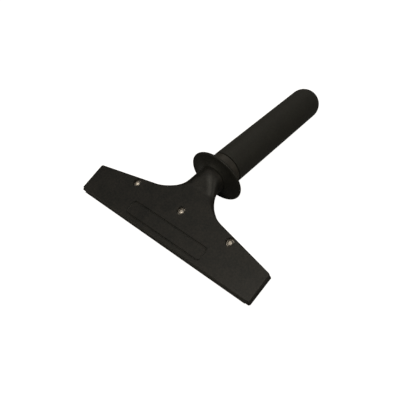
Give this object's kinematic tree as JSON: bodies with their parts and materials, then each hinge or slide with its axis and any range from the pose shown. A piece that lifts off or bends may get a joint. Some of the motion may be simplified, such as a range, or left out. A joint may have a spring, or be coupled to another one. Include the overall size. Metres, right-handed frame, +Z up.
{
  "type": "floor scraper",
  "caption": "Hand floor scraper: wide flat head clamping a straight blade, round neck, oval hand guard and straight grip with a domed end.",
  "frame": {"origin": "centre of the footprint on the surface that the tool lies on, which the clamp plate's front edge and the hand guard's lowest point touch", "axes": "+Y along the level grip, from the blade's mouth to the grip's domed end; +X along the mouth; +Z up, out of the side with the screw heads"},
  "size_m": [0.205, 0.2338, 0.0495],
  "materials": {
    "head_plastic": "fine textured moulded plastic, black",
    "plate_plastic": "fine textured moulded plastic, black",
    "guard_plastic": "smooth matte moulded plastic, black",
    "grip_rubber": "fine grained matte rubber, black",
    "blade_steel": "blackened spring steel, ground at the edge",
    "screw_steel": "bright stainless",
    "nut_steel": "zinc plated",
    "tube_alloy": "drawn tube"
  },
  "bodies": {
    "handle_and_head": {"head_body": "head_plastic", "screw_washer_left": "screw_steel", "screw_washer_centre": "screw_steel", "screw_washer_right": "screw_steel", "handle_tube": "tube_alloy", "hand_guard": "guard_plastic", "grip_collar": "grip_rubber", "grip_sleeve": "grip_rubber"},
    "lower_jaw": {"clamp_plate": "plate_plastic", "clamp_nut_left": "nut_steel", "clamp_nut_centre": "nut_steel", "clamp_nut_right": "nut_steel"},
    "blade": {"scraper_blade": "blade_steel"},
    "left_screw": {"clamp_screw_left": "screw_steel"},
    "centre_screw": {"clamp_screw_centre": "screw_steel"},
    "right_screw": {"clamp_screw_right": "screw_steel"}
  },
  "joints": [
    {"name": "jaw_open", "type": "slide", "parent": "handle_and_head", "child": "lower_jaw", "axis": [0, 0.2924, -0.9563], "range_m": [0, 0.001]},
    {"name": "blade_slide", "type": "slide", "parent": "lower_jaw", "child": "blade", "axis": [0, -0.9563, -0.2924], "range_m": [0, 0.012]},
    {"name": "left_screw_turn", "type": "hinge", "parent": "handle_and_head", "child": "left_screw", "pos_m": [-0.0568, -0.08318, 0.01358], "axis": [0, -0.2924, 0.9563], "range_deg": [0, 720]},
    {"name": "centre_screw_turn", "type": "hinge", "parent": "handle_and_head", "child": "centre_screw", "pos_m": [0, -0.08318, 0.01358], "axis": [0, -0.2924, 0.9563], "range_deg": [0, 720]},
    {"name": "right_screw_turn", "type": "hinge", "parent": "handle_and_head", "child": "right_screw", "pos_m": [0.0568, -0.08318, 0.01358], "axis": [0, -0.2924, 0.9563], "range_deg": [0, 720]}
  ],
  "couplings": [
    {"joint": "left_screw_turn", "follows": "jaw_open", "rad_per_m": 12566},
    {"joint": "centre_screw_turn", "follows": "jaw_open", "rad_per_m": 12566},
    {"joint": "right_screw_turn", "follows": "jaw_open", "rad_per_m": 12566}
  ]
}
